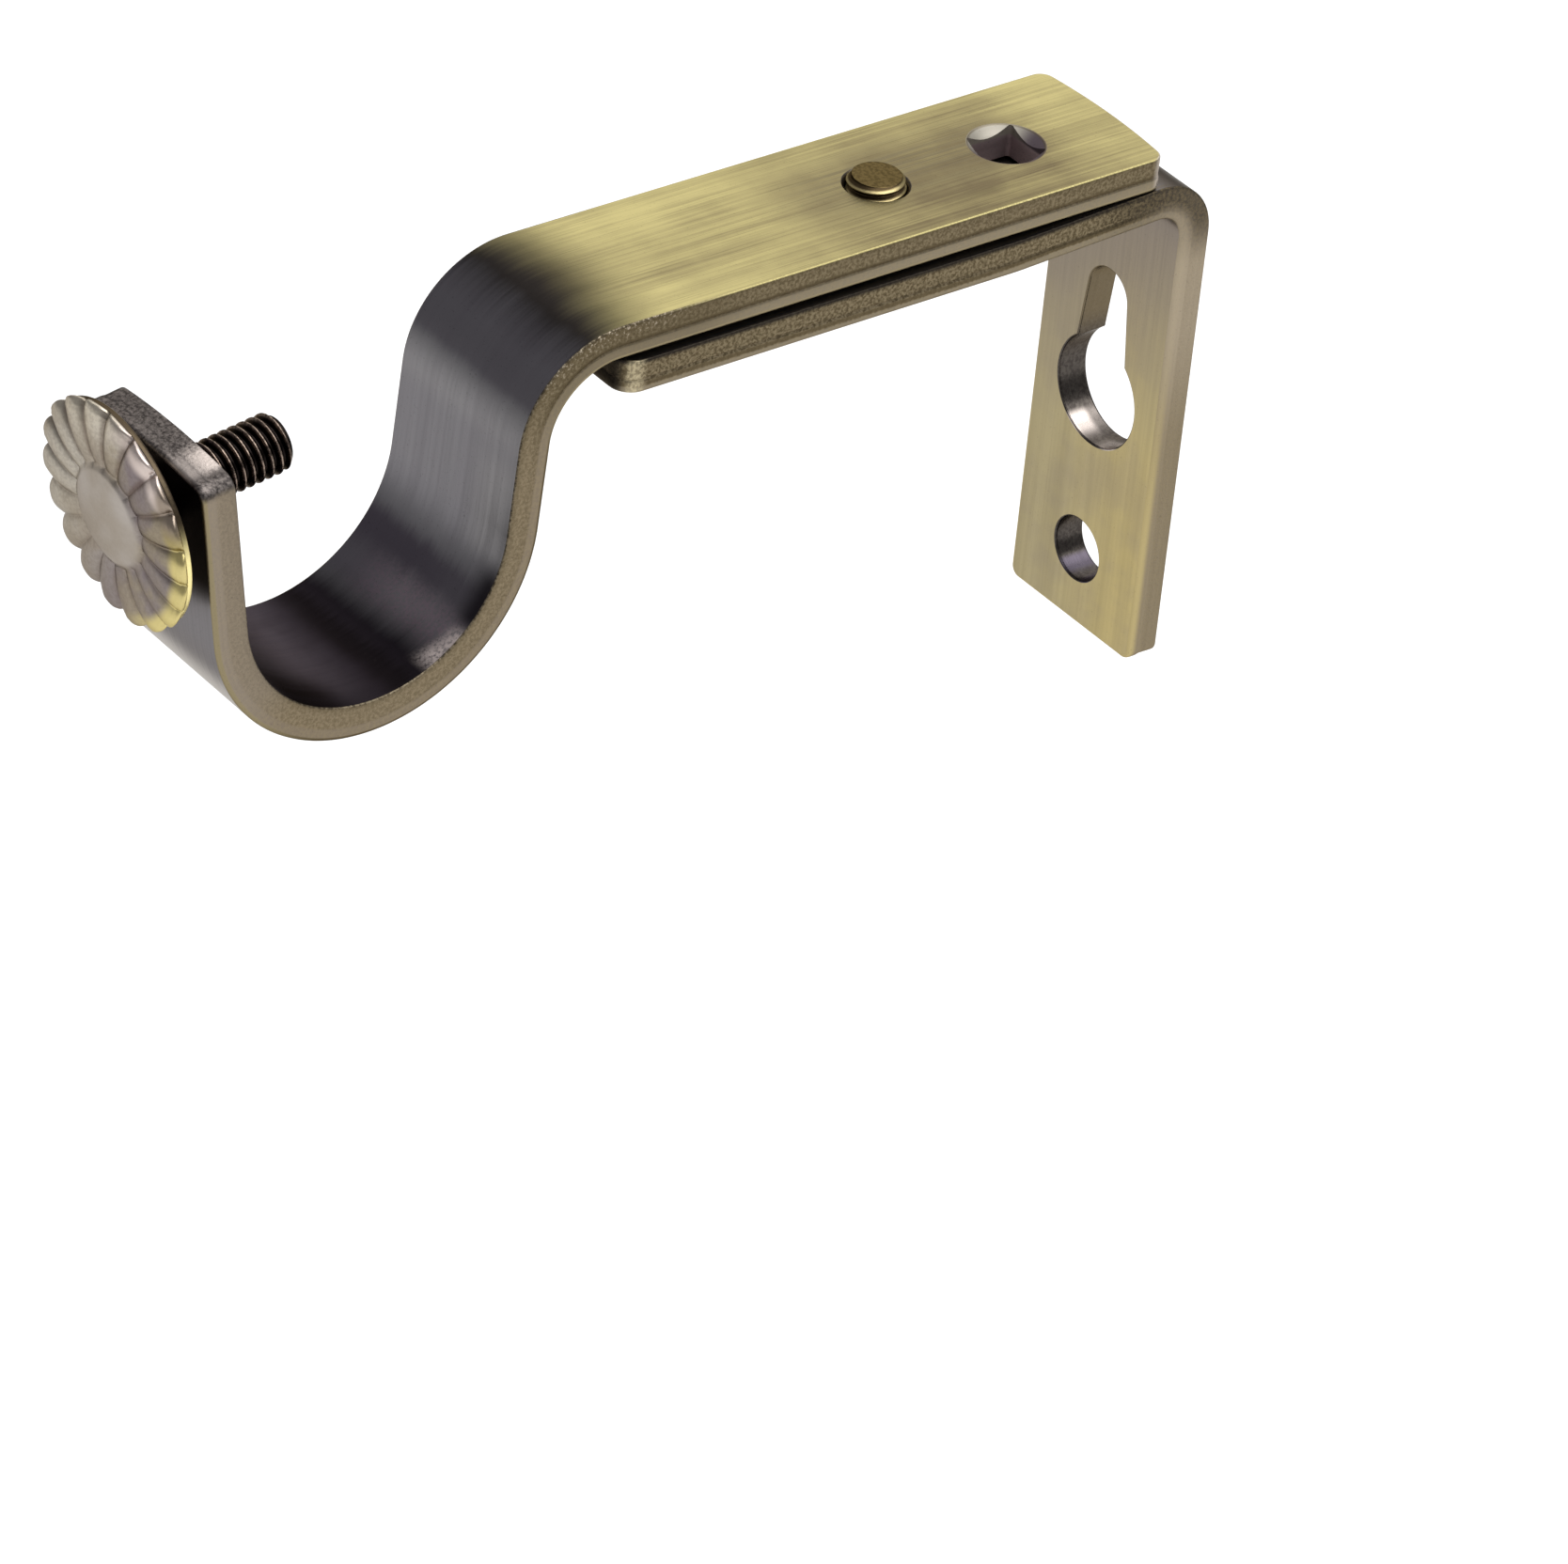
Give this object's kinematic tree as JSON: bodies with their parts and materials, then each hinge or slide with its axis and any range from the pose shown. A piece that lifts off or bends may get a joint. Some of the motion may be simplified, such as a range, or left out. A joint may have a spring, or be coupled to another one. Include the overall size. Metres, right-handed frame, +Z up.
{
  "type": "curtain pole bracket",
  "caption": "Adjustable curtain pole bracket: a slotted angle strap on the wall carries a sliding arm bent into an open cup, with a thumbscrew through the cup's lip.",
  "frame": {"origin": "on the wall plate's back face, on the strap's centre line, between the keyhole and the screw hole", "axes": "+Y out of the back face into the wall, so the arm reaches along -Y; +X across the strap; +Z up"},
  "size_m": [0.0194, 0.1026, 0.0506],
  "materials": {
    "strap_plating": "antique brass plating, brushed along the strap, darker in the bends",
    "screw_plating": "dark antique plating",
    "head_plating": "satin antique brass plating"
  },
  "bodies": {
    "wall_bracket": {"wall_bracket": "strap_plating"},
    "arm": {"hook_arm": "strap_plating", "adjusting_screw": "screw_plating"},
    "thumbscrew": {"thumbscrew_shank": "screw_plating", "thumbscrew_head": "head_plating"}
  },
  "joints": [
    {"name": "arm_slide", "type": "slide", "parent": "wall_bracket", "child": "arm", "axis": [0, -1, 0], "range_m": [-0.003, 0.021]},
    {"name": "thumbscrew_travel", "type": "slide", "parent": "arm", "child": "thumbscrew", "axis": [0, 0.9903, 0.1392], "range_m": [-0.0084, 0.0021]}
  ]
}
